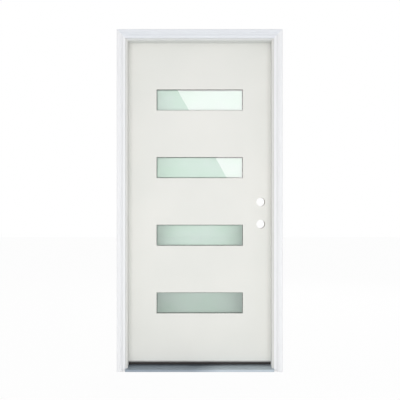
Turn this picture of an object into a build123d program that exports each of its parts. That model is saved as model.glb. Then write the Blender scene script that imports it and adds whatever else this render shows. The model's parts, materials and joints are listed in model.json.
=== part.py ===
from build123d import *
from math import atan, cos, radians, sin, tan
import os

# An inward-opening front door: a flush leaf with four frosted lites, hung on three
# butt hinges in a rebated frame, with mitred outside casing and an aluminium sill.
#
# X runs along the wall towards the lock side. Y runs into the house and is 0 at the
# street edge of the jambs. Z is up from the underside of the sill. Sizes are millimetres.

# Leaf: a slab for a nominal 36 in by 80 in doorway
leaf_width = 908.0
leaf_height = 2007.0
leaf_thickness = 44.5
skin_thickness = 2.0
skin_edge_chamfer = 1.0
stile_width = 38.0
top_rail_height = 45.0
bottom_rail_height = 60.0
lock_bevel = 3.0

# Frame: rebated jambs for a 4 9/16 in wall
jamb_depth = 115.9
jamb_board = 19.05
stop_height = 12.7
stop_edge_radius = 1.6
side_gap = 5.2
head_gap = 5.2
seal_gap = 7.5
kerf_width = 3.0
kerf_depth = 10.0

# Outside casing, 2 in wide and 1 1/4 in thick
casing_width = 50.8
casing_thickness = 31.75
casing_reveal = 12.7
casing_inner_thickness = 13.5
casing_flat = 7.0
casing_ogee_run = 23.0
casing_quirk = 4.5
casing_bead_radius = 6.0

# Sill
sill_depth = 142.9
sill_height = 36.0
sill_wall = 2.0
nose_height = 13.0
nose_radius = 3.0
deck_back_height = 22.0
cap_seat_height = 16.0
cap_seat_width = 34.0
cap_flange_width = 42.0
cap_edge_radius = 3.0
cap_side_clearance = 0.3
cap_lift = 0.5
sill_end_clearance = 0.2

# Sweep under the leaf
sweep_gap = 9.0
sweep_clearance = 0.5
sweep_width = 40.0
sweep_base = 3.0
sweep_fin = 1.6
sweep_fin_count = 4
sweep_end_inset = 3.0

# Seal in the kerf of each jamb
seal_clearance = 0.5
seal_reach = 8.5
seal_corner = 1.5
seal_stem_inset = 1.0
seal_foot_gap = 0.5

# Lites: four equal flush openings, one above the other
lite_names = ("bottom", "lower", "upper", "top")
lite_width = 543.0
lite_height = 132.0
lite_pitch = 426.0
lite_frame_side = 14.0
glass_bite = 8.0
pane_thickness = 4.0
pane_gap = 17.0
spacer_sight = 9.5
glazing_clearance = 0.5
spacer_edge_inset = 1.5

# Lock holes: two cross bores and their edge bores
bore_radius = 27.0
latch_height = 860.0
bore_spacing = 139.7
backset = 69.85
edge_bore_radius = 12.7
faceplate_width = 25.4
faceplate_height = 57.2
faceplate_recess = 3.0
lock_block_width = 120.0
lock_block_height = 320.0

# Strike housings in the jamb
strike_width = 28.6
latch_strike_height = 57.2
bolt_strike_height = 69.9
strike_recess = 1.6
strike_hole_width = 22.0
strike_hole_height = 26.0
strike_hole_depth = 12.0

# Butt hinges, 4 in by 4 in
hinge_names = ("lower", "middle", "upper")
hinge_height = 101.6
hinge_top_drop = 193.0
hinge_bottom_rise = 221.0
hinge_plate = 2.4
hinge_reach = 39.8
hinge_pin_offset = 11.0
hinge_mortise_clearance = 0.3
knuckle_radius = 6.35
knuckle_count = 5
knuckle_gap = 0.4
knuckle_clearance = 0.8
pin_radius = 3.2
pin_clearance = 0.08
pin_head_radius = 5.6
pin_head_height = 4.5
pin_tail = 3.0
pin_head_chamfer = 1.2
hinge_screw_radius = 4.5
hinge_screw_rows = (14.0, 27.0)
hinge_screw_heights = (38.0, 13.0, -13.0, -38.0)

# Levels and faces that follow from them
rebate_opening = leaf_width + 2 * side_gap
frame_width = rebate_opening + 2 * jamb_board
jamb_thickness = jamb_board + stop_height
leaf_back = jamb_depth
leaf_front = leaf_back - leaf_thickness
stop_width = leaf_front - seal_gap
leaf_bottom = sill_height + sweep_gap
leaf_top = leaf_bottom + leaf_height
leaf_middle = (leaf_bottom + leaf_top) / 2
leaf_centre_depth = (leaf_front + leaf_back) / 2
side_jamb_height = leaf_top + head_gap
frame_height = side_jamb_height + jamb_board
casing_inner_edge = frame_width / 2 - jamb_thickness + casing_reveal
casing_head_edge = frame_height - jamb_thickness + casing_reveal
sill_back = jamb_depth
sill_front = sill_back - sill_depth
core_front = leaf_front + skin_thickness
core_back = leaf_back - skin_thickness
glass_thickness = 2 * pane_thickness + pane_gap
glass_front = leaf_centre_depth - glass_thickness / 2
glass_back = leaf_centre_depth + glass_thickness / 2
lite_levels = [leaf_middle + lite_pitch * (row - (len(lite_names) - 1) / 2) for row in range(len(lite_names))]
bore_across = leaf_width / 2 - backset
bore_levels = (leaf_bottom + latch_height, leaf_bottom + latch_height + bore_spacing)
hinge_axis_across = -leaf_width / 2 - side_gap / 2
hinge_axis_depth = jamb_depth + hinge_pin_offset
lowest_hinge = leaf_bottom + hinge_bottom_rise
hinge_pitch = (leaf_top - hinge_top_drop - lowest_hinge) / (len(hinge_names) - 1)
hinge_levels = [lowest_hinge + hinge_pitch * row for row in range(len(hinge_names))]
knuckle_pitch = hinge_height / knuckle_count
cap_seat_front = leaf_centre_depth - cap_seat_width / 2
cap_seat_back = cap_seat_front + cap_seat_width
deck_back = cap_seat_front - sill_wall
deck_slope = (deck_back_height - nose_height) / (deck_back - sill_front)

# The lock edge leans back so that its street corner clears the jamb as the leaf swings
lock_edge = Plane(
    origin=(leaf_width / 2, leaf_back, 0),
    x_dir=(0, 0, 1),
    z_dir=(cos(radians(lock_bevel)), -sin(radians(lock_bevel)), 0),
)

os.makedirs("parts", exist_ok=True)


def save(piece, label):
    piece.part.label = label
    export_step(piece.part, f"parts/{label}.step")


def block(across, depths, levels, mode=Mode.ADD):
    """Adds or cuts a plain block between pairs of limits on X, Y and Z."""
    limits = (across, depths, levels)
    with Locations(tuple((low + high) / 2 for low, high in limits)):
        Box(*(high - low for low, high in limits), mode=mode)


def prism(plane, points, amount, mode=Mode.ADD, both=False, eased=(), radius=0.0):
    """Adds or cuts an outline of straight sides, drawn on a plane, with the eased corners rounded."""
    with BuildSketch(plane) as outline:
        Polygon(*points, align=None)
        if eased:
            fillet([outline.vertices().sort_by_distance(point)[0] for point in eased], radius)
    extrude(outline.sketch, amount=amount, dir=plane.z_dir, both=both, mode=mode)


def upright(depth):
    """Plane along the wall at a depth. Its x is X, its y is Z and it faces the street."""
    return Plane.XZ.offset(-depth)


def deck_level(depth):
    """Height of the sloping sill deck at a depth."""
    return nose_height + deck_slope * (depth - sill_front)


# Jambs


def stop_corners(across):
    """The stop's two corners, placed in the same way as the jamb section."""
    return [across(jamb_thickness, depth) for depth in (0, stop_width)]


def jamb_points(across):
    """Rebated section with its seal kerf, where across(height off the wall side, depth) places a point."""
    corners = (
        (0, 0),
        (jamb_thickness, 0),
        (jamb_thickness, stop_width),
        (jamb_board + kerf_width, stop_width),
        (jamb_board + kerf_width, stop_width - kerf_depth),
        (jamb_board, stop_width - kerf_depth),
        (jamb_board, jamb_depth),
        (0, jamb_depth),
    )
    return [across(*corner) for corner in corners]


def side_jamb(side):
    """Adds a side jamb, side -1 at the hinges and 1 at the lock, with its stop cut to sit on the deck."""

    def across(height, depth):
        return (side * (frame_width / 2 - height), depth)

    corners = stop_corners(across)
    prism(Plane.XY, jamb_points(across), side_jamb_height, eased=corners, radius=stop_edge_radius)
    under_stop = ((-1, -1), (-1, deck_level(-1)), (deck_back, deck_level(deck_back)), (deck_back, -1))
    prism(Plane.YZ.offset(side * (rebate_opening / 2 - stop_height / 2)), under_stop, stop_height / 2, Mode.SUBTRACT, True)


with BuildPart() as hinge_jamb:
    side_jamb(-1)
    for level in hinge_levels:
        with BuildSketch(Plane.YZ.offset(-rebate_opening / 2)):
            with Locations((jamb_depth, level)):
                Rectangle(
                    2 * (hinge_reach + hinge_mortise_clearance),
                    hinge_height + 2 * hinge_mortise_clearance,
                )
        extrude(amount=-hinge_plate, mode=Mode.SUBTRACT)
save(hinge_jamb, "hinge_jamb")

with BuildPart() as strike_jamb:
    side_jamb(1)
    for level, strike_height in zip(bore_levels, (latch_strike_height, bolt_strike_height)):
        for width, height, recess in (
            (strike_width, strike_height, strike_recess),
            (strike_hole_width, strike_hole_height, strike_hole_depth),
        ):
            block(
                (rebate_opening / 2 - 1, rebate_opening / 2 + recess),
                (leaf_centre_depth - width / 2, leaf_centre_depth + width / 2),
                (level - height / 2, level + height / 2),
                Mode.SUBTRACT,
            )
save(strike_jamb, "strike_jamb")


def head_across(height, depth):
    return (depth, frame_height - height)


with BuildPart() as head_jamb:
    head_corners = stop_corners(head_across)
    head_points = jamb_points(head_across)
    prism(Plane.YZ, head_points, frame_width / 2, both=True, eased=head_corners, radius=stop_edge_radius)
    for side in (-1, 1):
        block(
            sorted((side * (frame_width / 2 - jamb_thickness), side * (frame_width / 2 + 1))),
            (-1, stop_width + 1),
            (frame_height - jamb_thickness - 1, side_jamb_height),
            Mode.SUBTRACT,
        )
save(head_jamb, "head_jamb")


# Seals: a stem fills the kerf and a soft wedge leans over the rebate towards the leaf

seal_nose = leaf_front - seal_clearance
seal_foot = deck_back_height + seal_foot_gap


def seal_points(across):
    """Seal section, placed in the same way as the jamb section."""
    root = jamb_board + kerf_width
    stem = stop_width - kerf_depth + seal_stem_inset
    corners = (
        (root, stem),
        (root, stop_width),
        (root + seal_reach - seal_corner, stop_width),
        (root + seal_reach, stop_width + seal_corner),
        (root + seal_reach - seal_corner, seal_nose - seal_corner),
        (root + seal_corner, seal_nose),
        (jamb_board + seal_corner, seal_nose),
        (jamb_board, seal_nose - seal_corner),
        (jamb_board, stem),
    )
    return [across(*corner) for corner in corners]


def side_seal(side):
    points = seal_points(lambda height, depth: (side * (frame_width / 2 - height), depth))
    prism(Plane.XY.offset(seal_foot), points, side_jamb_height - seal_foot)


with BuildPart() as hinge_weatherstrip:
    side_seal(-1)
save(hinge_weatherstrip, "hinge_weatherstrip")

with BuildPart() as strike_weatherstrip:
    side_seal(1)
save(strike_weatherstrip, "strike_weatherstrip")

with BuildPart() as head_weatherstrip:
    prism(
        Plane.YZ,
        seal_points(lambda height, depth: (depth, frame_height - height)),
        frame_width / 2 - jamb_thickness,
        both=True,
    )
save(head_weatherstrip, "head_weatherstrip")


# Casing: a moulded section, mitred at the head and square at the foot

ogee_start = casing_flat
ogee_end = casing_flat + casing_ogee_run
ogee_top = casing_thickness - casing_quirk
ogee_half_run = casing_ogee_run / 2
ogee_half_rise = (ogee_top - casing_inner_thickness) / 2
ogee_radius = (ogee_half_run**2 + ogee_half_rise**2) / (2 * ogee_half_rise)
ogee_bulge = 2 * ogee_half_rise / ogee_half_run
ogee_angle = atan(ogee_bulge / 2)
ogee_out = ogee_radius * sin(ogee_angle)
ogee_up = ogee_radius * (1 - cos(ogee_angle))


def casing(plane, place, length, both=False):
    """Extrudes the section with place(distance from the inner edge, height off the wall)."""
    shoulder = casing_thickness - casing_bead_radius
    crown = casing_width - casing_bead_radius
    middle = casing_bead_radius * sin(radians(45))
    with BuildSketch(plane) as section:
        with BuildLine():
            Polyline(
                place(ogee_start, casing_inner_thickness),
                place(0, casing_inner_thickness),
                place(0, 0),
                place(casing_width, 0),
                place(casing_width, shoulder),
            )
            ThreePointArc(
                place(casing_width, shoulder),
                place(crown + middle, shoulder + middle),
                place(crown, casing_thickness),
            )
            Polyline(
                place(crown, casing_thickness),
                place(ogee_end, casing_thickness),
                place(ogee_end, ogee_top),
            )
            ThreePointArc(
                place(ogee_end, ogee_top),
                place(ogee_end - ogee_out, ogee_top - ogee_up),
                place(ogee_end - ogee_half_run, ogee_top - ogee_half_rise),
            )
            ThreePointArc(
                place(ogee_end - ogee_half_run, ogee_top - ogee_half_rise),
                place(ogee_start + ogee_out, casing_inner_thickness + ogee_up),
                place(ogee_start, casing_inner_thickness),
            )
        make_face()
    extrude(section.sketch, amount=length, dir=plane.z_dir, both=both)


def mitre(side):
    """Plane of the joint between head and side casing. Its top is the head's side."""
    return Plane(origin=(side * casing_inner_edge, 0, casing_head_edge), z_dir=(-side, 0, 1))


def side_casing(side):
    casing(
        Plane.XY,
        lambda out, height: (side * (casing_inner_edge + out), -height),
        casing_head_edge + casing_width,
    )
    split(bisect_by=mitre(side), keep=Keep.BOTTOM)


with BuildPart() as left_brickmould:
    side_casing(-1)
save(left_brickmould, "left_brickmould")

with BuildPart() as right_brickmould:
    side_casing(1)
save(right_brickmould, "right_brickmould")

with BuildPart() as head_brickmould:
    casing(
        Plane.YZ,
        lambda out, height: (-height, casing_head_edge + out),
        casing_inner_edge + casing_width,
        both=True,
    )
    split(bisect_by=mitre(-1), keep=Keep.TOP)
    split(bisect_by=mitre(1), keep=Keep.TOP)
save(head_brickmould, "head_brickmould")


# Sill: a sloping deck with a channel at its back, its core and the cap in the channel

sill_half = rebate_opening / 2 - sill_end_clearance
channel_back = cap_seat_back + sill_wall
channel_under = cap_seat_height - sill_wall
nose_inside = sill_front + sill_wall
nose_under = deck_level(nose_inside) - sill_wall
deck_under = deck_level(deck_back) - sill_wall

with BuildPart() as sill_deck:
    prism(
        Plane.YZ,
        (
            (sill_front, 0),
            (sill_front, nose_height),
            (deck_back, deck_back_height),
            (cap_seat_front, deck_back_height),
            (cap_seat_front, cap_seat_height),
            (cap_seat_back, cap_seat_height),
            (cap_seat_back, deck_back_height),
            (channel_back, deck_back_height),
            (channel_back, channel_under),
            (deck_back, channel_under),
            (deck_back, deck_under),
            (nose_inside, nose_under),
            (nose_inside, 0),
        ),
        sill_half,
        both=True,
        eased=[(sill_front, nose_height)],
        radius=nose_radius,
    )
save(sill_deck, "sill_deck")

with BuildPart() as sill_substrate:
    prism(
        Plane.YZ,
        (
            (nose_inside, 0),
            (nose_inside, nose_under),
            (deck_back, deck_under),
            (deck_back, channel_under),
            (channel_back, channel_under),
            (channel_back, deck_back_height),
            (sill_back, deck_back_height),
            (sill_back, 0),
        ),
        sill_half,
        both=True,
    )
save(sill_substrate, "sill_substrate")

cap_flange_under = deck_back_height + cap_lift
cap_half = rebate_opening / 2 - cap_side_clearance

with BuildPart() as sill_cap:
    block(
        (-cap_half, cap_half),
        (cap_seat_front + cap_side_clearance, cap_seat_back - cap_side_clearance),
        (cap_seat_height, cap_flange_under),
    )
    block(
        (-cap_half, cap_half),
        (leaf_centre_depth - cap_flange_width / 2, leaf_centre_depth + cap_flange_width / 2),
        (cap_flange_under, sill_height),
    )
    top_edges = sill_cap.edges().filter_by(Axis.X).group_by(Axis.Z)[-1]
    fillet(top_edges, cap_edge_radius)
save(sill_cap, "sill_cap")


# Leaf


def cut_lites(margin, depths):
    """Cuts the four openings, each wider than the clear lite by a margin all round."""
    with BuildSketch(upright(depths[0])) as openings:
        with Locations(*((0, level) for level in lite_levels)):
            Rectangle(lite_width + 2 * margin, lite_height + 2 * margin)
    extrude(openings.sketch, amount=depths[1] - depths[0], dir=(0, 1, 0), mode=Mode.SUBTRACT)


def cut_lock_holes():
    """Cuts the two cross bores, their edge bores and the faceplate housings."""
    with BuildSketch(upright(leaf_front - 1)) as crosses:
        with Locations(*((bore_across, level) for level in bore_levels)):
            Circle(bore_radius)
    extrude(crosses.sketch, amount=leaf_thickness + 2, dir=(0, 1, 0), mode=Mode.SUBTRACT)
    with BuildSketch(Plane.YZ.offset(bore_across)) as edge_bores:
        with Locations(*((leaf_centre_depth, level) for level in bore_levels)):
            Circle(edge_bore_radius)
    extrude(edge_bores.sketch, amount=backset + 1, dir=(1, 0, 0), mode=Mode.SUBTRACT)
    lock_face = leaf_width / 2 - leaf_thickness / 2 * tan(radians(lock_bevel))
    with BuildSketch(Plane.YZ.offset(lock_face - faceplate_recess)) as faceplates:
        with Locations(*((leaf_centre_depth, level) for level in bore_levels)):
            Rectangle(faceplate_width, faceplate_height)
    extrude(faceplates.sketch, amount=faceplate_recess + 3, dir=(1, 0, 0), mode=Mode.SUBTRACT)


def cut_hinge_mortises():
    """Cuts the three housings for the leaf's hinge plates in its hinge edge."""
    with BuildSketch(Plane.YZ.offset(-leaf_width / 2 - 1)) as mortises:
        with Locations(*((jamb_depth, level) for level in hinge_levels)):
            Rectangle(
                2 * (hinge_reach + hinge_mortise_clearance),
                hinge_height + 2 * hinge_mortise_clearance,
            )
    extrude(mortises.sketch, amount=hinge_plate + 1, dir=(1, 0, 0), mode=Mode.SUBTRACT)


leaf_edges = (-leaf_width / 2, leaf_width / 2)
leaf_levels = (leaf_bottom, leaf_top)
core_depths = (core_front, core_back)

with BuildPart() as exterior_skin:
    block(leaf_edges, (leaf_front, core_front), leaf_levels)
    split(bisect_by=lock_edge, keep=Keep.BOTTOM)
    chamfer(exterior_skin.faces().sort_by(Axis.Y)[0].edges(), skin_edge_chamfer)
    cut_lites(0, (leaf_front - 1, core_front + 1))
    cut_lock_holes()
save(exterior_skin, "exterior_skin")

with BuildPart() as interior_skin:
    block(leaf_edges, (core_back, leaf_back), leaf_levels)
    split(bisect_by=lock_edge, keep=Keep.BOTTOM)
    chamfer(interior_skin.faces().sort_by(Axis.Y)[-1].edges(), skin_edge_chamfer)
    cut_lites(0, (core_back - 1, leaf_back + 1))
    cut_lock_holes()
    cut_hinge_mortises()
save(interior_skin, "interior_skin")

with BuildPart() as hinge_stile:
    block((leaf_edges[0], leaf_edges[0] + stile_width), core_depths, leaf_levels)
    cut_hinge_mortises()
save(hinge_stile, "hinge_stile")

lock_block_levels = (sum(bore_levels) / 2 - lock_block_height / 2, sum(bore_levels) / 2 + lock_block_height / 2)
lock_block_across = (leaf_edges[1] - lock_block_width, leaf_edges[1])

with BuildPart() as lock_stile:
    block((leaf_edges[1] - stile_width, leaf_edges[1]), core_depths, leaf_levels)
    block(lock_block_across, core_depths, lock_block_levels)
    split(bisect_by=lock_edge, keep=Keep.BOTTOM)
    cut_lock_holes()
save(lock_stile, "lock_stile")

rail_across = (leaf_edges[0] + stile_width, leaf_edges[1] - stile_width)
core_levels = (leaf_bottom + bottom_rail_height, leaf_top - top_rail_height)

with BuildPart() as bottom_rail:
    block(rail_across, core_depths, (leaf_bottom, core_levels[0]))
save(bottom_rail, "bottom_rail")

with BuildPart() as top_rail:
    block(rail_across, core_depths, (core_levels[1], leaf_top))
save(top_rail, "top_rail")

with BuildPart() as foam_core:
    block(rail_across, core_depths, core_levels)
    block(lock_block_across, core_depths, lock_block_levels, Mode.SUBTRACT)
    cut_lites(lite_frame_side, (core_front - 1, core_back + 1))
save(foam_core, "foam_core")


def ring(depths, outer_margin, inner_margin, level):
    """Adds a ring round a lite between two margins outside its clear size."""
    with BuildSketch(upright(depths[0])) as outline:
        with Locations((0, level)):
            Rectangle(lite_width + 2 * outer_margin, lite_height + 2 * outer_margin)
            Rectangle(lite_width + 2 * inner_margin, lite_height + 2 * inner_margin, mode=Mode.SUBTRACT)
    extrude(outline.sketch, amount=depths[1] - depths[0], dir=(0, 1, 0))


def plate(depths, margin, level, mode=Mode.ADD):
    """Adds or cuts a plate over a lite, larger than its clear size by a margin."""
    block(
        (-lite_width / 2 - margin, lite_width / 2 + margin),
        depths,
        (level - lite_height / 2 - margin, level + lite_height / 2 + margin),
        mode,
    )


outer_pane_depths = (glass_front, glass_front + pane_thickness)
inner_pane_depths = (glass_back - pane_thickness, glass_back)
spacer_depths = (outer_pane_depths[1], inner_pane_depths[0])
glass_slot_depths = (glass_front - glazing_clearance / 2, glass_back + glazing_clearance / 2)

for name, level in zip(lite_names, lite_levels):
    with BuildPart() as liner:
        ring(core_depths, lite_frame_side, 0, level)
        plate(glass_slot_depths, glass_bite + glazing_clearance, level, Mode.SUBTRACT)
    save(liner, f"{name}_lite_liner")

    with BuildPart() as outer_pane:
        plate(outer_pane_depths, glass_bite, level)
    save(outer_pane, f"{name}_lite_outer_pane")

    with BuildPart() as spacer:
        ring(
            spacer_depths,
            glass_bite - spacer_edge_inset,
            glass_bite - spacer_edge_inset - spacer_sight,
            level,
        )
    save(spacer, f"{name}_lite_spacer")

    with BuildPart() as inner_pane:
        plate(inner_pane_depths, glass_bite, level)
    save(inner_pane, f"{name}_lite_inner_pane")

sweep_top = leaf_bottom
sweep_under = leaf_bottom - sweep_base
sweep_half = leaf_width / 2 - sweep_end_inset
fin_pitch = (sweep_width - sweep_fin) / (sweep_fin_count - 1)

with BuildPart() as bottom_sweep:
    block(
        (-sweep_half, sweep_half),
        (leaf_centre_depth - sweep_width / 2, leaf_centre_depth + sweep_width / 2),
        (sweep_under, sweep_top),
    )
    for fin in range(sweep_fin_count):
        start = leaf_centre_depth - sweep_width / 2 + fin * fin_pitch
        block((-sweep_half, sweep_half), (start, start + sweep_fin), (sill_height + sweep_clearance, sweep_under))
save(bottom_sweep, "bottom_sweep")


# Hinges: a plate in the jamb with three knuckles, a plate in the leaf with two, and a loose pin


def knuckle_band(level, index):
    """Foot and top of one knuckle, counted from the bottom."""
    foot = level - hinge_height / 2 + index * knuckle_pitch
    lower_gap = knuckle_gap / 2 if index > 0 else 0
    upper_gap = knuckle_gap / 2 if index < knuckle_count - 1 else 0
    return foot + lower_gap, foot + knuckle_pitch - upper_gap


def barrel(foot, top, radius, mode=Mode.ADD):
    with Locations((hinge_axis_across, hinge_axis_depth, (foot + top) / 2)):
        Cylinder(radius, top - foot, mode=mode)


def hinge_half(side, level, own, other):
    """Adds a mortised plate, side -1 in the jamb and 1 in the leaf, with its own knuckles."""
    face = hinge_axis_across + side * side_gap / 2
    with BuildSketch(Plane.YZ.offset(face)) as blank:
        with Locations((jamb_depth, level)):
            Rectangle(2 * hinge_reach, hinge_height)
    extrude(blank.sketch, amount=hinge_plate, dir=(side, 0, 0))
    block(
        (hinge_axis_across - 20, hinge_axis_across + 20),
        (hinge_axis_depth, hinge_axis_depth + hinge_reach),
        (level - hinge_height, level + hinge_height),
        Mode.SUBTRACT,
    )
    for index in own:
        barrel(*knuckle_band(level, index), knuckle_radius)
    for index in other:
        foot, top = knuckle_band(level, index)
        notch = knuckle_radius + knuckle_clearance
        block(
            (hinge_axis_across - notch, hinge_axis_across + notch),
            (hinge_axis_depth - notch, hinge_axis_depth + notch),
            (foot - knuckle_gap, top + knuckle_gap),
            Mode.SUBTRACT,
        )
    barrel(level - hinge_height, level + hinge_height, pin_radius + pin_clearance, Mode.SUBTRACT)
    for row, height in enumerate(hinge_screw_heights):
        depth = jamb_depth - hinge_screw_rows[row % len(hinge_screw_rows)]
        with Locations(Plane(origin=(face, depth, level + height), z_dir=(-side, 0, 0))):
            Hole(hinge_screw_radius, 2 * hinge_plate)


jamb_knuckles = range(0, knuckle_count, 2)
leaf_knuckles = range(1, knuckle_count, 2)

for name, level in zip(hinge_names, hinge_levels):
    with BuildPart() as jamb_plate:
        hinge_half(-1, level, jamb_knuckles, leaf_knuckles)
    save(jamb_plate, f"{name}_hinge_jamb_plate")

    with BuildPart() as leaf_plate:
        hinge_half(1, level, leaf_knuckles, jamb_knuckles)
    save(leaf_plate, f"{name}_hinge_leaf_plate")

    with BuildPart() as pin:
        foot = level - hinge_height / 2
        top = level + hinge_height / 2
        barrel(foot - pin_tail, top, pin_radius)
        barrel(top, top + pin_head_height, pin_head_radius)
        chamfer(pin.edges().group_by(Axis.Z)[-1], pin_head_chamfer)
    save(pin, f"{name}_hinge_pin")
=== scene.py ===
"""Looks of the front door: finishes, seals, sweep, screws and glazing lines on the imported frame."""

import json
import math
import random

import bmesh
import bpy
from mathutils import Matrix, Vector


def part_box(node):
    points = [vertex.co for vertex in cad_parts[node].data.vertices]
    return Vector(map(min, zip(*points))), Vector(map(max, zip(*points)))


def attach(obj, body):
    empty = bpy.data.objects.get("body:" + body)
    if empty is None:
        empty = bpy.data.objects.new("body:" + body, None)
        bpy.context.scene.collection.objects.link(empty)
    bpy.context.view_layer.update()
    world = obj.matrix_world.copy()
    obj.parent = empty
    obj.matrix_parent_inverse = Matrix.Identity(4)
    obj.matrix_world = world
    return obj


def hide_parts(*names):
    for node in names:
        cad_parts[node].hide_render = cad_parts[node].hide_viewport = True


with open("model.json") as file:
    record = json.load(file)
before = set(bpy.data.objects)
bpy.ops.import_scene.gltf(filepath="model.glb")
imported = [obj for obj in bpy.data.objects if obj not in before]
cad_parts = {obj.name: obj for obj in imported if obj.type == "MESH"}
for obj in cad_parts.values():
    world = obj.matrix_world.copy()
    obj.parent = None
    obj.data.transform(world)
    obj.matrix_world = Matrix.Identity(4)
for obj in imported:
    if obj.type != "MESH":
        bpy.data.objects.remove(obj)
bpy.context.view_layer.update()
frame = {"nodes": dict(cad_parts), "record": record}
nodes = frame["nodes"]
scene = bpy.context.scene
scene.view_settings.view_transform = "Standard"
random.seed(11)

MM = 0.001


def frame_mount(name):
    """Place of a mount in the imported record, in metres."""
    return next(mount["pos_m"] for mount in frame["record"]["mounts"] if mount["name"] == name)


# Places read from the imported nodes, in metres
LEAF_LOW, LEAF_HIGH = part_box("exterior_skin")
LEAF_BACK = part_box("interior_skin")[1][1]
HEAD_JAMB_LOW, HEAD_JAMB_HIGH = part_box("head_jamb")
LEAF_MIDDLE_DEPTH = (LEAF_LOW[1] + LEAF_BACK) / 2
PANE_MIDDLE_DEPTH = sum(corner[1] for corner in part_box("top_lite_outer_pane")) / 2
LOCK_ACROSS = frame_mount("latch_bore")[0]
LOCK_HEIGHTS = [frame_mount(name)[2] for name in ("latch_bore", "bolt_bore")]
LOCK_RADIUS = 27.0 * MM
LOCK_BARE_RIM = 1.0 * MM
EDGE_BORE_RADIUS = 12.7 * MM
EDGE_BARE_RIM = 0.5 * MM
FACEPLATE_DEPTH = 4.0 * MM


# Node helpers

# Sockets of a Mix node set to colours, by place
MIX_FACTOR = 0
MIX_COLOURS = (6, 7)
MIX_RESULT = 2


class Shader:
    """A Principled material with short calls for the nodes that vary it."""

    def __init__(self, name, colour, roughness, **constants):
        self.material = bpy.data.materials.new(name)
        self.material.use_nodes = True
        self.tree = self.material.node_tree
        self.bsdf = self.tree.nodes["Principled BSDF"]
        self.bsdf.inputs["Base Color"].default_value = (*linear(colour), 1.0)
        self.bsdf.inputs["Roughness"].default_value = roughness
        for socket, value in constants.items():
            self.bsdf.inputs[socket.replace("_", " ")].default_value = value
        self.where = self.tree.nodes.new("ShaderNodeTexCoord").outputs["Object"]

    def node(self, kind, **settings):
        made = self.tree.nodes.new(kind)
        for key, value in settings.items():
            setattr(made, key, value)
        return made

    def feed(self, made, socket, source):
        if hasattr(source, "is_output"):
            self.tree.links.new(source, made.inputs[socket])
        else:
            made.inputs[socket].default_value = source

    def stretched(self, scale):
        mapping = self.node("ShaderNodeMapping")
        self.feed(mapping, "Vector", self.where)
        mapping.inputs["Scale"].default_value = scale
        return mapping.outputs["Vector"]

    def noise(self, scale, detail=3.0, rough=0.5, stretch=(1, 1, 1), distortion=0.0):
        made = self.node("ShaderNodeTexNoise")
        self.feed(made, "Vector", self.stretched(stretch))
        self.feed(made, "Scale", scale)
        self.feed(made, "Detail", detail)
        self.feed(made, "Roughness", rough)
        self.feed(made, "Distortion", distortion)
        return made.outputs["Fac"]

    def span(self, source, low, high, to_low=0.0, to_high=1.0):
        made = self.node("ShaderNodeMapRange")
        self.feed(made, "Value", source)
        limits = {"From Min": low, "From Max": high, "To Min": to_low, "To Max": to_high}
        for socket, value in limits.items():
            self.feed(made, socket, value)
        return made.outputs["Result"]

    def mix(self, factor, first, second):
        made = self.node("ShaderNodeMix", data_type="RGBA")
        self.feed(made, MIX_FACTOR, factor)
        for socket, value in zip(MIX_COLOURS, (first, second)):
            self.feed(made, socket, value if hasattr(value, "is_output") else (*value, 1.0))
        return made.outputs[MIX_RESULT]

    def maths(self, operation, first, second=0.0):
        made = self.node("ShaderNodeMath", operation=operation)
        self.feed(made, 0, first)
        self.feed(made, 1, second)
        return made.outputs[0]

    def axis(self, name):
        made = self.node("ShaderNodeSeparateXYZ")
        self.feed(made, "Vector", self.where)
        return made.outputs[name]

    def length(self, first, second):
        squares = [self.maths("MULTIPLY", side, side) for side in (first, second)]
        return self.maths("SQRT", self.maths("ADD", *squares))

    def facing(self, name):
        made = self.node("ShaderNodeSeparateXYZ")
        self.feed(made, "Vector", self.node("ShaderNodeNewGeometry").outputs["Normal"])
        return self.maths("ABSOLUTE", made.outputs[name])

    def colour(self, source):
        self.feed(self.bsdf, "Base Color", source)

    def tint(self, source, low, high, dark, light):
        """Colour that runs from dark to light, in display values, as a source goes from low to high."""
        return self.mix(self.span(source, low, high), linear(dark), linear(light))

    def roughness(self, source):
        self.feed(self.bsdf, "Roughness", source)

    def bump(self, height, distance, strength=1.0):
        made = self.node("ShaderNodeBump")
        self.feed(made, "Height", height)
        self.feed(made, "Distance", distance)
        self.feed(made, "Strength", strength)
        self.feed(self.bsdf, "Normal", made.outputs["Normal"])


def linear(colour):
    """Linear light of a display colour given as 0 to 255."""
    steps = (channel / 255 for channel in colour)
    return tuple(
        step / 12.92 if step <= 0.04045 else ((step + 0.055) / 1.055) ** 2.4 for step in steps
    )


# Finishes


def leaf_skin():
    """Smooth moulded skin in white primer: a faint roller texture and slow changes of tone."""
    shader = Shader("leaf_skin_primer", (233, 234, 229), 0.48)
    tone = shader.noise(2.2, 2.0)
    shader.colour(shader.tint(tone, 0.3, 0.7, (231, 232, 227), (236, 236, 231)))
    shader.roughness(shader.span(shader.noise(60.0, 3.0), 0.3, 0.7, 0.42, 0.54))
    shader.bump(shader.noise(900.0, 2.0), 0.00005, 0.6)
    return shader.material


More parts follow.
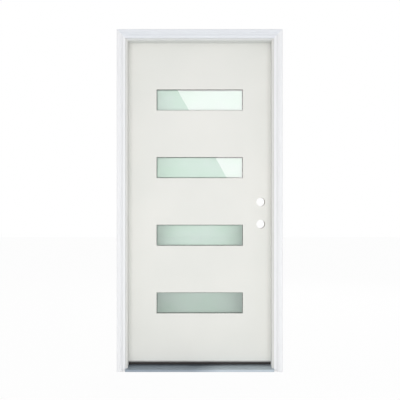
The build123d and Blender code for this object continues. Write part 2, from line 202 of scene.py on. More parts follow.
def primed_timber(name, colour, darker, grain_axis, bare_axis=None):
    """Primed softwood: grain telegraphs through the paint, and ends that bare_axis faces are raw."""
    shader = Shader(name, colour, 0.5)
    stretch = [1.0, 1.0, 1.0]
    stretch["XYZ".index(grain_axis)] = 0.035
    grain = shader.noise(160.0, 6.0, 0.6, tuple(stretch), 0.6)
    paint = shader.tint(grain, 0.35, 0.65, darker, colour)
    if bare_axis:
        rings = shader.noise(55.0, 4.0, 0.55, (1.0, 0.35, 1.0), 1.4)
        wood = shader.tint(rings, 0.35, 0.65, (200, 174, 138), (222, 202, 168))
        paint = shader.mix(shader.span(shader.facing(bare_axis), 0.7, 0.8), paint, wood)
    shader.colour(paint)
    shader.roughness(shader.span(grain, 0.3, 0.7, 0.44, 0.6))
    shader.bump(grain, 0.00012, 0.5)
    return shader.material


def leaf_timber():
    """Edge timber of the leaf in primer, bare inside the lock holes and on the end grain; the bare wood is
    a dark grey-brown, partly its own colour and partly painted shade of the holes.
    """
    shader = Shader("leaf_edge_primer", (228, 227, 221), 0.55)
    grain = shader.noise(140.0, 6.0, 0.6, (1.0, 1.0, 0.04), 0.7)
    primer = shader.tint(grain, 0.35, 0.65, (218, 217, 211), (232, 231, 226))
    # Dark grey-brown bare wood: partly the wood's colour, partly painted shade inside the lock holes
    wood = shader.tint(grain, 0.3, 0.7, (104, 92, 80), (146, 130, 112))
    across = shader.maths("SUBTRACT", shader.axis("X"), LOCK_ACROSS)
    bare = 0.0
    for height in LOCK_HEIGHTS:
        up = shader.maths("SUBTRACT", shader.axis("Z"), height)
        inward = shader.maths("SUBTRACT", shader.axis("Y"), LEAF_MIDDLE_DEPTH)
        cross = shader.maths("LESS_THAN", shader.length(across, up), LOCK_RADIUS + LOCK_BARE_RIM)
        edge = shader.maths("LESS_THAN", shader.length(inward, up), EDGE_BORE_RADIUS + EDGE_BARE_RIM)
        beyond = shader.maths("GREATER_THAN", shader.axis("X"), LOCK_ACROSS)
        inside = shader.maths("LESS_THAN", shader.axis("X"), LEAF_HIGH[0] - FACEPLATE_DEPTH)
        hole = shader.maths("MULTIPLY", edge, shader.maths("MULTIPLY", beyond, inside))
        bare = shader.maths("MAXIMUM", bare, shader.maths("MAXIMUM", cross, hole))
    bare = shader.maths("MAXIMUM", bare, shader.span(shader.facing("Z"), 0.7, 0.8))
    shader.colour(shader.mix(bare, primer, wood))
    shader.bump(grain, 0.00014, 0.6)
    return shader.material


def foam():
    """Cut rigid foam with open cells, painted darker in the pits of the cells as shade."""
    shader = Shader("core_foam", (222, 206, 160), 0.9)
    cells = shader.node("ShaderNodeTexVoronoi", feature="F1")
    shader.feed(cells, "Vector", shader.where)
    shader.feed(cells, "Scale", 700.0)
    depth = cells.outputs["Distance"]
    # Painted shade: each cell is darker towards its pit, where the bump is lowest
    shader.colour(shader.mix(depth, linear((206, 188, 140)), linear((232, 218, 178))))
    shader.bump(depth, 0.0004, 0.8)
    return shader.material


# Where along X the deck's painted sheen goes over from darker to brighter, in metres
DECK_SHEEN_START = -0.03
DECK_SHEEN_END = 0.12


def aluminium_deck():
    """Mill-finish extrusion: fine die lines along X, and a painted sheen that is darker towards the hinges
    than towards the lock.
    """
    shader = Shader("sill_mill_aluminium", (148, 158, 167), 0.36, Metallic=0.85, Anisotropic=0.5)
    lines = shader.noise(240.0, 5.0, 0.7, (0.012, 1.0, 1.0))
    # Painted sheen: soft bands waver the edge between the darker and the brighter tone along X
    sheen_bands = shader.noise(3.4, 1.5, 0.4, (1.0, 0.1, 0.1))
    sheen_wavering = shader.maths("ADD", shader.axis("X"), shader.span(sheen_bands, 0.0, 1.0, -0.05, 0.05))
    tone = shader.span(sheen_wavering, DECK_SHEEN_START, DECK_SHEEN_END)
    base = shader.mix(tone, linear((139, 151, 163)), linear((189, 200, 208)))
    shader.colour(shader.mix(shader.span(lines, 0.3, 0.7, 0.0, 0.3), base, linear((194, 203, 212))))
    shader.roughness(shader.span(lines, 0.3, 0.7, 0.3, 0.46))
    shader.bump(lines, 0.00008, 0.7)
    return shader.material


def sill_cap():
    """Dark moulded cap with a fine drawn grain and slightly worn, lighter streaks."""
    shader = Shader("sill_cap_dark", (58, 56, 57), 0.46, Specular_IOR_Level=0.25)
    drawn = shader.noise(190.0, 4.0, 0.6, (0.02, 1.0, 1.0))
    shader.colour(shader.tint(drawn, 0.35, 0.68, (30, 27, 27), (58, 54, 54)))
    shader.roughness(shader.span(drawn, 0.3, 0.7, 0.4, 0.54))
    shader.bump(drawn, 0.0001, 0.6)
    return shader.material


def sill_core():
    """Composite board with flecks laid along the sill."""
    shader = Shader("sill_composite", (122, 104, 86), 0.85)
    flecks = shader.noise(420.0, 5.0, 0.7, (0.35, 1.0, 1.0))
    shader.colour(shader.tint(flecks, 0.35, 0.65, (96, 80, 64), (150, 130, 108)))
    shader.bump(flecks, 0.0003, 0.7)
    return shader.material


def satin_nickel():
    """Plated steel, brushed upright."""
    shader = Shader("satin_nickel", (176, 174, 170), 0.34, Metallic=1.0)
    brushed = shader.noise(900.0, 3.0, 0.6, (1.0, 1.0, 0.06))
    shader.colour(shader.tint(brushed, 0.3, 0.7, (160, 158, 154), (190, 188, 184)))
    shader.roughness(shader.span(brushed, 0.3, 0.7, 0.27, 0.42))
    shader.bump(brushed, 0.00003, 0.6)
    return shader.material


def plated_screw():
    """Plated screw head with a little wear from the driver."""
    shader = Shader("plated_screw", (158, 156, 152), 0.3, Metallic=1.0)
    wear = shader.noise(1400.0, 3.0)
    shader.colour(shader.tint(wear, 0.35, 0.65, (138, 136, 132), (178, 176, 172)))
    shader.roughness(shader.span(wear, 0.3, 0.7, 0.24, 0.42))
    return shader.material


def seal_cover():
    """White film wrapped over foam: matt, with a fine leathery stipple and soft puckers."""
    shader = Shader(
        "seal_white_film",
        (243, 245, 247),
        0.55,
        Subsurface_Weight=0.06,
        Subsurface_Radius=(0.003,) * 3,
    )
    stipple = shader.noise(1500.0, 2.0)
    puckers = shader.noise(60.0, 2.0, 0.5, (1.0, 1.0, 0.2))
    shader.colour(shader.tint(puckers, 0.35, 0.65, (236, 239, 242), (247, 248, 250)))
    shader.bump(shader.maths("ADD", stipple, puckers), 0.00012, 0.6)
    return shader.material


def sweep_vinyl():
    """Soft grey extrusion with faint drawn streaks."""
    shader = Shader("sweep_grey_vinyl", (168, 168, 166), 0.6)
    streaks = shader.noise(300.0, 3.0, 0.6, (0.03, 1.0, 1.0))
    shader.colour(shader.tint(streaks, 0.35, 0.65, (150, 150, 148), (182, 182, 180)))
    shader.bump(streaks, 0.0001, 0.6)
    return shader.material


def lite_liner():
    """White moulded liner round each pane: an even stipple with faint flow marks."""
    shader = Shader("lite_liner_white", (226, 228, 223), 0.5)
    flow = shader.noise(45.0, 3.0, 0.5, (0.3, 1.0, 0.3), 0.8)
    shader.colour(shader.tint(flow, 0.3, 0.7, (222, 224, 219), (229, 231, 226)))
    shader.bump(shader.noise(1100.0, 2.0), 0.00004, 0.5)
    shader.roughness(shader.span(shader.noise(90.0), 0.3, 0.7, 0.42, 0.56))
    return shader.material


def spacer_bar():
    """Spacer seen through the etched pane, with the green that the glass lends it."""
    shader = Shader("spacer_sealant", (92, 112, 104), 0.6)
    speckle = shader.noise(900.0, 2.0)
    shader.colour(shader.tint(speckle, 0.35, 0.65, (84, 104, 96), (106, 126, 116)))
    return shader.material


def sealant():
    """Grey-green glazing sealant, smeared as it was pressed out; its dark band also paints the shade line
    round each lite.
    """
    shader = Shader("lite_sealant_and_shade", (96, 112, 103), 0.6)
    swirl = shader.noise(300.0, 3.0)
    shader.colour(shader.tint(swirl, 0.35, 0.65, (86, 102, 93), (108, 124, 115)))
    shader.bump(swirl, 0.0001, 0.5)
    return shader.material


def frosted_glass():
    """Street pane: polished towards the street and etched behind, with a pale green body."""
    shader = Shader(
        "lite_glass_etched",
        (214, 232, 221),
        0.5,
        Transmission_Weight=0.89,
        IOR=1.5,
        Coat_Weight=1.0,
        Coat_Roughness=0.0,
        Coat_IOR=1.5,
    )
    etched = shader.maths("GREATER_THAN", shader.axis("Y"), PANE_MIDDLE_DEPTH)
    cloud = shader.noise(7.0, 3.0, 0.55, (0.6, 1.0, 1.0))
    shader.colour(shader.tint(cloud, 0.3, 0.7, (233, 254, 241), (241, 255, 248)))
    grain = shader.span(shader.noise(40.0), 0.3, 0.7, 0.52, 0.6)
    shader.roughness(shader.maths("MULTIPLY", etched, grain))
    shader.bump(shader.maths("MULTIPLY", etched, shader.noise(2600.0, 2.0)), 0.00003, 0.5)
    return shader.material


def clear_glass():
    """Room pane: clear float glass with a faint green body and a trace of surface waviness."""
    shader = Shader("lite_glass_clear", (247, 252, 249), 0.0, Transmission_Weight=1.0, IOR=1.5)
    shader.roughness(shader.span(shader.noise(25.0), 0.4, 0.7, 0.0, 0.03))
    shader.bump(shader.noise(9.0, 1.0), 0.0002, 0.15)
    return shader.material


FINISHES = {
    "skin": leaf_skin(),
    "side_jamb": primed_timber("jamb_primer_upright", (226, 226, 223), (219, 219, 216), "Z", "Z"),
    "head_jamb": primed_timber("jamb_primer_head", (226, 228, 226), (219, 221, 219), "X", "X"),
    "side_casing": primed_timber("casing_primer_upright", (243, 244, 246), (239, 240, 242), "Z", "Z"),
    # The head casing wears the uprights' primer a little darker and bluer: painted shade
    "head_casing_shaded": primed_timber("casing_primer_head_shaded", (235, 238, 243), (231, 234, 239), "X"),
    "timber": leaf_timber(),
    "foam": foam(),
    "deck": aluminium_deck(),
    "cap": sill_cap(),
    "core": sill_core(),
    "hinge": satin_nickel(),
    "screw": plated_screw(),
    "seal": seal_cover(),
    "sweep": sweep_vinyl(),
    "liner": lite_liner(),
    "spacer": spacer_bar(),
    "sealant": sealant(),
    "outer_glass": frosted_glass(),
    "inner_glass": clear_glass(),
}


def finish_of(name):
    """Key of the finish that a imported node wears."""
    endings = {
        "_skin": "skin",
        "_outer_pane": "outer_glass",
        "_inner_pane": "inner_glass",
        "_spacer": "spacer",
        "_liner": "liner",
        "_hinge_pin": "hinge",
        "_hinge_jamb_plate": "hinge",
        "_hinge_leaf_plate": "hinge",
        "_weatherstrip": "seal",
        "_stile": "timber",
        "_rail": "timber",
    }
    whole = {
        "hinge_jamb": "side_jamb",
        "strike_jamb": "side_jamb",
        "head_jamb": "head_jamb",
        "left_brickmould": "side_casing",
        "right_brickmould": "side_casing",
        "head_brickmould": "head_casing_shaded",
        "foam_core": "foam",
        "sill_deck": "deck",
        "sill_cap": "cap",
        "sill_substrate": "core",
        "bottom_sweep": "sweep",
    }
    if name in whole:
        return whole[name]
    return next(key for ending, key in endings.items() if name.endswith(ending))


for name, node in nodes.items():
    node.data.materials.clear()
    node.data.materials.append(FINISHES[finish_of(name)])


# Mesh helpers


def new_piece(name, mesh_builder, finish, body):
    """Makes an object from a bmesh, gives it a finish and sets it on a body."""
    mesh = bpy.data.meshes.new(name)
    mesh_builder.normal_update()
    mesh_builder.to_mesh(mesh)
    mesh_builder.free()
    mesh.materials.append(FINISHES[finish])
    piece = bpy.data.objects.new(name, mesh)
    scene.collection.objects.link(piece)
    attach(piece, body)
    return piece


def shade(piece, angle):
    """Smooth shading up to an angle between faces, in degrees."""
    for polygon in piece.data.polygons:
        polygon.use_smooth = True
    limit = math.radians(angle)
    piece.data.update()
    builder = bmesh.new()
    builder.from_mesh(piece.data)
    for edge in builder.edges:
        edge.smooth = len(edge.link_faces) == 2 and edge.calc_face_angle(0.0) < limit
    builder.to_mesh(piece.data)
    builder.free()


def extrusion(profile, start, end, place):
    """Closed solid between two ends, where place(point, along) puts a profile point at a length."""
    builder = bmesh.new()
    rings = [[builder.verts.new(place(point, along)) for point in profile] for along in (start, end)]
    count = len(profile)
    for index in range(count):
        after = (index + 1) % count
        builder.faces.new((rings[0][index], rings[0][after], rings[1][after], rings[1][index]))
    builder.faces.new(reversed(rings[0]))
    builder.faces.new(rings[1])
    bmesh.ops.recalc_face_normals(builder, faces=builder.faces)
    return builder


def arc(centre, radius, start, end, steps):
    """Points of an arc, its angles in degrees."""
    angles = [math.radians(start + (end - start) * step / steps) for step in range(steps + 1)]
    return [(centre[0] + radius * math.cos(turn), centre[1] + radius * math.sin(turn)) for turn in angles]


# Seals: a foam bulb under a film with a folded fin, in the space of the plain packed ones

SEAL_STEPS = 10
SEAL_STEM_DEPTH = 9.0 * MM
SEAL_STEM_NEAR = 0.4 * MM
SEAL_STEM_FAR = 2.6 * MM
SEAL_NECK = 3.0 * MM
SEAL_FIN_ROOT_DROP = 0.2 * MM
SEAL_FIN_TIP = (0.6 * MM, 1.6 * MM)
SEAL_FIN_BELLY = (0.1 * MM, 1.4 * MM)
SEAL_FIN_HEEL_DROP = 0.6 * MM
SEAL_SHADE_ANGLE = 50.0


def seal_profile(reach, root, nose):
    """Section in distance off the rebate and depth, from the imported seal's own limits."""
    face = root + SEAL_STEM_DEPTH
    bulb = (nose - face) / 2
    return [
        (SEAL_STEM_NEAR, root),
        (SEAL_STEM_FAR, root),
        (SEAL_NECK, face),
        *arc((reach - bulb, face + bulb), bulb, -90.0, 90.0, SEAL_STEPS),
        (SEAL_NECK, nose - SEAL_FIN_ROOT_DROP),
        (SEAL_FIN_TIP[0], nose - SEAL_FIN_TIP[1]),
        (SEAL_FIN_BELLY[0], face + SEAL_FIN_BELLY[1]),
        (SEAL_STEM_NEAR, face - SEAL_FIN_HEEL_DROP),
    ]


def dress_seal(node, side):
    """Seal in the place of a packed one, whose side is -1 or 1 on a side jamb and 0 at the head."""
    low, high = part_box(node)
    off, along = (0, 2) if side else (2, 0)
    rebate = low[off] if side < 0 else high[off]

    def place(point, length):
        if side:
            return Vector((rebate - side * point[0], point[1], length))
        return Vector((length, point[1], rebate - point[0]))

    profile = seal_profile(high[off] - low[off], low[1], high[1])
    builder = extrusion(profile, low[along], high[along], place)
    piece = new_piece(f"{node}_film", builder, "seal", "frame")
    shade(piece, SEAL_SHADE_ANGLE)
    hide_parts(node)


dress_seal("hinge_weatherstrip", -1)
dress_seal("strike_weatherstrip", 1)
dress_seal("head_weatherstrip", 0)


# Sweep: a base strip with curled soft fins under it

SWEEP_FINS = 4
SWEEP_BASE = 3.0 * MM
FIN_THICKNESS = 1.2 * MM
FIN_CURL = 1.4 * MM
FIN_MIDDLE_SHARE = 0.4
FIN_TIP_RISE = 0.4 * MM
FIN_TIP_WIDTH = 0.5 * MM
FIN_HEEL_RISE = 0.5 * MM
SWEEP_SHADE_ANGLE = 35.0


def sweep_profile(low, high):
    """Section in depth and height: a base strip whose soft fins curl towards the street."""
    under = high[2] - SWEEP_BASE
    foot = low[2]
    middle = (under + foot) / 2
    sway = FIN_MIDDLE_SHARE * FIN_CURL
    pitch = (high[1] - low[1] - 2 * FIN_CURL - FIN_THICKNESS) / (SWEEP_FINS - 1)
    points = [(high[1], high[2]), (low[1], high[2]), (low[1], under)]
    for fin in range(SWEEP_FINS):
        root = low[1] + 2 * FIN_CURL + fin * pitch
        tip = root - FIN_CURL
        points += [
            (root, under),
            (root - sway, middle),
            (tip, foot + FIN_TIP_RISE),
            (tip + FIN_TIP_WIDTH, foot),
            (tip + FIN_THICKNESS, foot + FIN_HEEL_RISE),
            (root - sway + FIN_THICKNESS, middle),
            (root + FIN_THICKNESS, under),
        ]
    points.append((high[1], under))
    return points


sweep_low, sweep_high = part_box("bottom_sweep")
sweep_builder = extrusion(
    sweep_profile(sweep_low, sweep_high),
    sweep_low[0],
    sweep_high[0],
    lambda point, along: Vector((along, point[0], point[1])),
)
sweep = new_piece("bottom_sweep_vinyl", sweep_builder, "sweep", "leaf")
shade(sweep, SWEEP_SHADE_ANGLE)
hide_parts("bottom_sweep")


# Glazing: the sealant that squeezes out of the joint between each street pane and its spacer, a dark band
# that is partly real sealant and partly painted shade along the edges of the lites

SPACER_SIGHT = 9.5 * MM
SEALANT_OVERLAP = 0.2 * MM
# Wide enough for the dark band to paint the lites' edge shade
SEALANT_WIDTH = 2.3 * MM
SEALANT_DEPTH = 1.2 * MM
SEALANT_FOOT = 0.3 * MM
SEALANT_OFF_PANE = 0.05 * MM


def picture_frame(low, high, profile):
    """Closed ring of mitred bars inside a rectangle, its profile in inset and depth."""
    builder = bmesh.new()
    corners = ((low, low), (high, low), (high, high), (low, high))
    rings = []
    for across, up in corners:
        step_across = 1 if across is low else -1
        step_up = 1 if up is low else -1
        rings.append([
            builder.verts.new((across[0] + step_across * inset, depth, up[2] + step_up * inset))
            for inset, depth in profile
        ])
    count = len(profile)
    for index in range(len(rings)):
        first, second = rings[index], rings[(index + 1) % len(rings)]
        for point in range(count):
            after = (point + 1) % count
            builder.faces.new((first[point], first[after], second[after], second[point]))
    bmesh.ops.recalc_face_normals(builder, faces=builder.faces)
    return builder


for lite in ("bottom", "lower", "upper", "top"):
    spacer_low, spacer_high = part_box(f"{lite}_lite_spacer")
    inset = SPACER_SIGHT - SEALANT_OVERLAP
    face = spacer_low[1] + SEALANT_OFF_PANE
    bead = [
        (inset, face),
        (inset + SEALANT_WIDTH, face),
        (inset + SEALANT_FOOT, face + SEALANT_DEPTH),
        (inset, face + SEALANT_DEPTH),
    ]
    ring = picture_frame(spacer_low, spacer_high, bead)
    new_piece(f"{lite}_lite_sealant", ring, "sealant", "leaf")


# Screws: a countersunk head with a cross recess

HEAD_STEPS = 24
HEAD_RADIUS = 4.3 * MM
HEAD_CROWN = 0.25 * MM
HEAD_DEPTH = 2.0 * MM
HEAD_TOP_SHARE = 0.82
HEAD_FOOT_SHARE = 0.5
RECESS_HALF = 0.75 * MM
RECESS_REACH = 2.5 * MM
RECESS_DEPTH = 1.4 * MM
RECESS_FOOT_SHARE = 0.55
SCREW_SHADE_ANGLE = 30.0


def cross_outline(half, reach):
    """Corners of an upright cross, anticlockwise."""
    arm = ((half, half), (half, reach), (-half, reach))
    corners = []
    for _ in range(4):
        corners += arm
        arm = tuple((-y, x) for x, y in arm)
    return corners


def screw_head(builder, centre, outward, spin, radius):
    """Adds a head at a point on the surface, its top facing outward and its recess turned by spin."""
    scale = radius / HEAD_RADIUS
    cross = cross_outline(RECESS_HALF * scale, RECESS_REACH * scale)
    turn = outward.to_track_quat("Z", "Y").to_matrix().to_4x4() @ Matrix.Rotation(spin, 4, "Z")
    move = Matrix.Translation(centre) @ turn

    def corner(x, y, z):
        return builder.verts.new(move @ Vector((x, y, z)))

    def polar(distance, step, height):
        angle = 2 * math.pi * (step + 0.5) / HEAD_STEPS
        return corner(distance * math.cos(angle), distance * math.sin(angle), height)

    crown = HEAD_CROWN * scale
    bottom = crown - RECESS_DEPTH * scale
    rim = [polar(radius, step, 0.0) for step in range(HEAD_STEPS)]
    top = [polar(radius * HEAD_TOP_SHARE, step, crown) for step in range(HEAD_STEPS)]
    foot = [polar(radius * HEAD_FOOT_SHARE, step, -HEAD_DEPTH) for step in range(HEAD_STEPS)]
    mouth = [corner(x, y, crown) for x, y in cross]
    floor = [corner(x * RECESS_FOOT_SHARE, y * RECESS_FOOT_SHARE, bottom) for x, y in cross]
    for step in range(HEAD_STEPS):
        after = (step + 1) % HEAD_STEPS
        builder.faces.new((rim[step], rim[after], top[after], top[step]))
        builder.faces.new((foot[step], foot[after], rim[after], rim[step]))
    builder.faces.new(list(reversed(foot)))
    for step in range(len(cross)):
        after = (step + 1) % len(cross)
        builder.faces.new((mouth[step], floor[step], floor[after], mouth[after]))
    builder.faces.new(floor)
    edges = [edge for edge in builder.edges if edge.is_boundary and set(edge.verts) <= set(top + mouth)]
    bmesh.ops.triangle_fill(builder, edges=edges, use_beauty=True)


def screws(name, places, outward, body, radius=HEAD_RADIUS):
    """One piece that holds all the screw heads of a fitting."""
    builder = bmesh.new()
    for place in places:
        screw_head(builder, Vector(place), Vector(outward), random.uniform(0.0, math.pi), radius)
    bmesh.ops.recalc_face_normals(builder, faces=builder.faces)
    piece = new_piece(name, builder, "screw", body)
    shade(piece, SCREW_SHADE_ANGLE)


HINGE_ROWS = (14.0 * MM, 27.0 * MM)
HINGE_HEIGHTS = (38.0 * MM, 13.0 * MM, -13.0 * MM, -38.0 * MM)
HINGE_FACE_OFF_PIN = 2.6 * MM
HINGE_SCREW_SINK = 0.5 * MM

for hinge in ("lower", "middle", "upper"):
    for half, body, side in (("jamb", "frame", -1), ("leaf", "leaf", 1)):
        low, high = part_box(f"{hinge}_hinge_{half}_plate")
        middle = (low[2] + high[2]) / 2
        pin_low, pin_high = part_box(f"{hinge}_hinge_pin")
        pin_across = (pin_low[0] + pin_high[0]) / 2
        face = pin_across + side * HINGE_FACE_OFF_PIN
        places = [
            (face + side * HINGE_SCREW_SINK, LEAF_BACK - HINGE_ROWS[row % 2], middle + height)
            for row, height in enumerate(HINGE_HEIGHTS)
        ]
        screws(f"{hinge}_hinge_{half}_screws", places, (-side, 0.0, 0.0), body)

# Screws that join the jambs, through the head into each side jamb and through its foot into the sill
FRAME_SCREW_RADIUS = 3.6 * MM
FRAME_SCREW_SINK = 0.4 * MM
CORNER_SCREW_INSET = 16.0 * MM
CORNER_SCREW_DEPTHS = (16.0 * MM, 50.0 * MM, 96.0 * MM)
SILL_SCREW_PLACES = ((6.0 * MM, 6.5 * MM), (45.0 * MM, 8.0 * MM), (100.0 * MM, 8.0 * MM))

for side, jamb in ((-1, "hinge"), (1, "strike")):
    outer = HEAD_JAMB_HIGH[0] if side > 0 else HEAD_JAMB_LOW[0]
    inset = outer - side * CORNER_SCREW_INSET
    corner_places = [(inset, depth, HEAD_JAMB_HIGH[2] - FRAME_SCREW_SINK) for depth in CORNER_SCREW_DEPTHS]
    screws(f"{jamb}_corner_screws", corner_places, (0.0, 0.0, 1.0), "frame", FRAME_SCREW_RADIUS)
    sunk = outer - side * FRAME_SCREW_SINK
    sill_places = [(sunk, depth, height) for depth, height in SILL_SCREW_PLACES]
    screws(f"{jamb}_sill_screws", sill_places, (side, 0.0, 0.0), "frame", FRAME_SCREW_RADIUS)


# Floor, light and camera

# The leaf's edges in the photograph, in its pixels
PHOTO_SIZE = 400
LEAF_TOP_PIXEL = 42.0
LEAF_FOOT_PIXEL = 360.8
LEAF_LEFT_PIXEL = 125.5
LEAF_RIGHT_PIXEL = 273.9
CAMERA_DISTANCE = 4.2
SENSOR_WIDTH = 36.0

FLOOR_SPAN = 30.0
FLOOR_DROP = 0.001
FLOOR_GREY = 0.88
FLOOR_CAMERA_WHITE = 0.95
WORLD_FILL = 0.66


def white_when_seen(tree):
    """Output that is 1 for camera, glossy and transmission rays and 0 for the light on the door."""
    path = tree.nodes.new("ShaderNodeLightPath")
    seen = path.outputs["Is Camera Ray"]
    for other in ("Is Glossy Ray", "Is Transmission Ray"):
        either = tree.nodes.new("ShaderNodeMath")
        either.operation = "MAXIMUM"
        tree.links.new(seen, either.inputs[0])
        tree.links.new(path.outputs[other], either.inputs[1])
        seen = either.outputs[0]
    return seen


def stage_material(name, grey, camera_white):
    """Matt grey finish, a share of which shows as plain white light."""
    material = bpy.data.materials.new(name)
    material.use_nodes = True
    tree = material.node_tree
    tree.nodes.clear()
    diffuse = tree.nodes.new("ShaderNodeBsdfDiffuse")
    diffuse.inputs["Color"].default_value = (grey, grey, grey, 1.0)
    white = tree.nodes.new("ShaderNodeEmission")
    white.inputs["Strength"].default_value = 1.0
    share = tree.nodes.new("ShaderNodeMath")
    share.operation = "MULTIPLY"
    tree.links.new(white_when_seen(tree), share.inputs[0])
    share.inputs[1].default_value = camera_white
    mix = tree.nodes.new("ShaderNodeMixShader")
    tree.links.new(share.outputs[0], mix.inputs["Fac"])
    tree.links.new(diffuse.outputs[0], mix.inputs[1])
    tree.links.new(white.outputs[0], mix.inputs[2])
    output = tree.nodes.new("ShaderNodeOutputMaterial")
    tree.links.new(mix.outputs[0], output.inputs["Surface"])
    return material


def stage_sheet(name, size, place, turn, material):
    """Flat sheet that belongs to the stage and not to the door."""
    mesh = bpy.data.meshes.new(name)
    corners = [(size[0] / 2 * x, size[1] / 2 * y, 0) for x, y in ((-1, -1), (1, -1), (1, 1), (-1, 1))]
    mesh.from_pydata(corners, [], [(0, 1, 2, 3)])
    mesh.materials.append(material)
    sheet = bpy.data.objects.new(name, mesh)
    sheet.location = place
    sheet.rotation_euler = turn
    scene.collection.objects.link(sheet)
    return sheet


floor_white = stage_material("floor_white", FLOOR_GREY, FLOOR_CAMERA_WHITE)
stage_sheet("floor", (FLOOR_SPAN, FLOOR_SPAN), (0.0, 0.0, -FLOOR_DROP), (0.0, 0.0, 0.0), floor_white)

world = bpy.data.worlds.new("studio")
scene.world = world
world.use_nodes = True
tree = world.node_tree
tree.nodes.clear()
level = tree.nodes.new("ShaderNodeMapRange")
level.inputs["To Min"].default_value = WORLD_FILL
level.inputs["To Max"].default_value = 1.0
tree.links.new(white_when_seen(tree), level.inputs["Value"])
background = tree.nodes.new("ShaderNodeBackground")
background.inputs["Color"].default_value = (1.0, 1.0, 1.0, 1.0)
tree.links.new(level.outputs["Result"], background.inputs["Strength"])
output = tree.nodes.new("ShaderNodeOutputWorld")
tree.links.new(background.outputs[0], output.inputs["Surface"])


def aim(place, target):
    """Turn that points a lamp at a place towards a target."""
    return (Vector(target) - Vector(place)).to_track_quat("-Z", "Y").to_euler()


# Name, place, target, size, watts, and whether polished surfaces mirror it
LAMPS = (
    ("left_front", (-1.9, -6.6, 1.75), (0.0, 0.0, 1.0), (2.2, 3.2), 54.0, True),
    ("right_front", (1.9, -6.6, 1.75), (0.0, 0.0, 1.0), (2.2, 3.2), 46.0, True),
    ("foot_fill", (0.0, -2.4, 0.12), (0.0, 0.0, 0.35), (2.2, 0.3), 9.0, False),
    ("back", (1.5, 3.6, 3.0), (0.0, 0.0, 1.0), (2.5, 2.5), 60.0, False),
)

for name, place, target, size, power, mirrors in LAMPS:
    lamp_data = bpy.data.lights.new(name, "AREA")
    lamp_data.shape = "RECTANGLE"
    lamp_data.size, lamp_data.size_y = size
    lamp_data.energy = power
    lamp = bpy.data.objects.new(name, lamp_data)
    lamp.location = place
    lamp.rotation_euler = aim(place, target)
    lamp.visible_camera = False
    lamp.visible_transmission = False
    lamp.visible_glossy = mirrors
    scene.collection.objects.link(lamp)

leaf_span = LEAF_HIGH[2] - LEAF_LOW[2]
pixel = leaf_span / (LEAF_FOOT_PIXEL - LEAF_TOP_PIXEL)
centre_across = (PHOTO_SIZE / 2 - (LEAF_LEFT_PIXEL + LEAF_RIGHT_PIXEL) / 2) * pixel
centre_up = LEAF_LOW[2] + (LEAF_FOOT_PIXEL - PHOTO_SIZE / 2) * pixel
camera_data = bpy.data.cameras.new("camera")
camera_data.sensor_width = SENSOR_WIDTH
camera_data.lens = SENSOR_WIDTH * CAMERA_DISTANCE / (PHOTO_SIZE * pixel)
camera = bpy.data.objects.new("camera", camera_data)
camera.location = (centre_across, LEAF_LOW[1] - CAMERA_DISTANCE, centre_up)
camera.rotation_euler = (math.radians(90.0), 0.0, 0.0)
scene.collection.objects.link(camera)
scene.camera = camera


# Reflector beside the camera: the two upper lites mirror it, and its slanted edge crosses them

# Points of the slanted edge and the far side, in the photograph's pixels
GLARE_EDGE_TOP = (174.1, 84.0)
GLARE_EDGE_FOOT = (233.8, 190.0)
GLARE_FAR_SIDE = 255.0
GLARE_COLOUR = (1.0, 0.79, 0.9)
GLARE_STRENGTH = 3.65


def mirrored(across, down):
    """Place in the camera's plane that the glass mirrors at a point of the photograph, in pixels."""
    x = (across - PHOTO_SIZE / 2) * pixel + centre_across
    z = centre_up + (PHOTO_SIZE / 2 - down) * pixel
    return 2 * x - centre_across, camera.location.y, 2 * z - centre_up


def show_only_to(obj, ray):
    """Hides a stage object from every kind of ray but one, and keeps its shadow off the door."""
    for other in ("camera", "diffuse", "glossy", "transmission"):
        setattr(obj, f"visible_{other}", other == ray)
    obj.visible_shadow = False


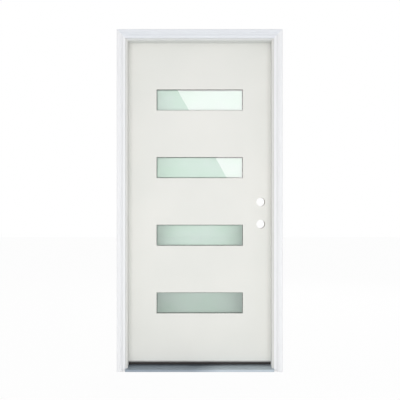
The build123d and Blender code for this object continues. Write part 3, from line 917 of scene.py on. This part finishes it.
outline = [
    GLARE_EDGE_TOP,
    GLARE_EDGE_FOOT,
    (GLARE_FAR_SIDE, GLARE_EDGE_FOOT[1]),
    (GLARE_FAR_SIDE, GLARE_EDGE_TOP[1]),
]
card_mesh = bpy.data.meshes.new("reflector")
card_mesh.from_pydata([mirrored(*corner) for corner in outline], [], [tuple(range(len(outline)))])
card_glow = bpy.data.materials.new("reflector_glow")
card_glow.use_nodes = True
card_tree = card_glow.node_tree
card_tree.nodes.clear()
glow = card_tree.nodes.new("ShaderNodeEmission")
glow.inputs["Color"].default_value = (*GLARE_COLOUR, 1.0)
glow.inputs["Strength"].default_value = GLARE_STRENGTH
glow_out = card_tree.nodes.new("ShaderNodeOutputMaterial")
card_tree.links.new(glow.outputs[0], glow_out.inputs["Surface"])
card_mesh.materials.append(card_glow)
card = bpy.data.objects.new("reflector", card_mesh)
scene.collection.objects.link(card)
show_only_to(card, "glossy")


# Dark floor and hall side sheets behind the door, seen only through the etched glass: painted shade that
# darkens the lower lites and the edges of the lites

ROOM_SHADE_GREY = 0.42
ROOM_SIZE = (6.0, 5.0)
ROOM_MIDDLE_DEPTH = 2.75
ROOM_FLOOR_RISE = 0.002
HALL_HALF = 0.295
HALL_DEPTH = 0.9
HALL_GAP = 0.01
# Name, side of the door, lowest and highest level, grey
HALL_SHADE_SIDES = (
    ("left_low", -1, 0.0, 1.05, 0.05),
    ("right_low", 1, 0.0, 1.05, 0.05),
    ("left_high", -1, 1.05, 2.2, 0.68),
)

room_place = (0.0, ROOM_MIDDLE_DEPTH, ROOM_FLOOR_RISE)
room_shade_finish = stage_material("room_shade_floor", ROOM_SHADE_GREY, 0.0)
room_shade_sheets = [stage_sheet("room_shade_floor", ROOM_SIZE, room_place, (0.0, 0.0, 0.0), room_shade_finish)]
for hand, side, low, high, grey in HALL_SHADE_SIDES:
    name = f"hall_side_{hand}"
    hall_place = (side * HALL_HALF, LEAF_BACK + HALL_GAP + HALL_DEPTH / 2, (low + high) / 2)
    hall_turn = (0.0, math.radians(90.0), 0.0)
    hall_shade_finish = stage_material(name, grey, 0.0)
    room_shade_sheets.append(stage_sheet(name, (high - low, HALL_DEPTH), hall_place, hall_turn, hall_shade_finish))
for sheet in room_shade_sheets:
    show_only_to(sheet, "transmission")
